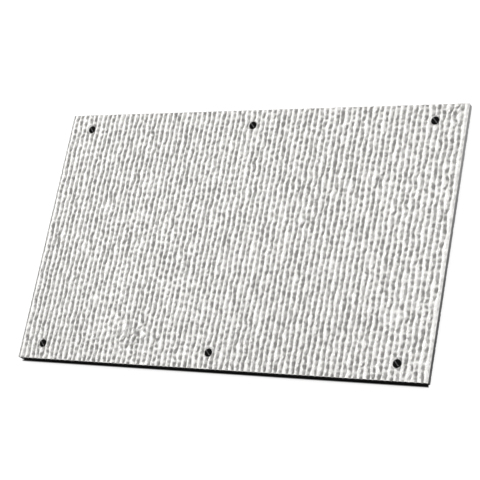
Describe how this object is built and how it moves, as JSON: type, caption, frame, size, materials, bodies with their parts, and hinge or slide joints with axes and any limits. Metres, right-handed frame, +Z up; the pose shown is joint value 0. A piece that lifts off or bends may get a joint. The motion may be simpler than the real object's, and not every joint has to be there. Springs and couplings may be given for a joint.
{
  "type": "exhaust heat shield",
  "caption": "Flat insulated panel with a ridged aluminium face and slotted screws, fixed under a vehicle floor to keep the exhaust's heat away.",
  "frame": {"origin": "on the surface that the panel lies on, at its screws' blunt ends, under the middle of the panel", "axes": "+X along the long side, +Y along the short side and the ridges, +Z up out of the ridged face"},
  "size_m": [0.508, 0.305, 0.0154],
  "materials": {
    "embossed_facing": "thin bright aluminium sheet, embossed with long ridges and crinkled in the grooves",
    "insulation_mat": "dark glass-fibre mat, cut square at the edges",
    "mounting_screws": "black coated steel, paler in the slot"
  },
  "bodies": {
    "root": {"embossed_facing": "embossed_facing", "insulation_mat": "insulation_mat", "mounting_screws": "mounting_screws"}
  },
  "joints": []
}
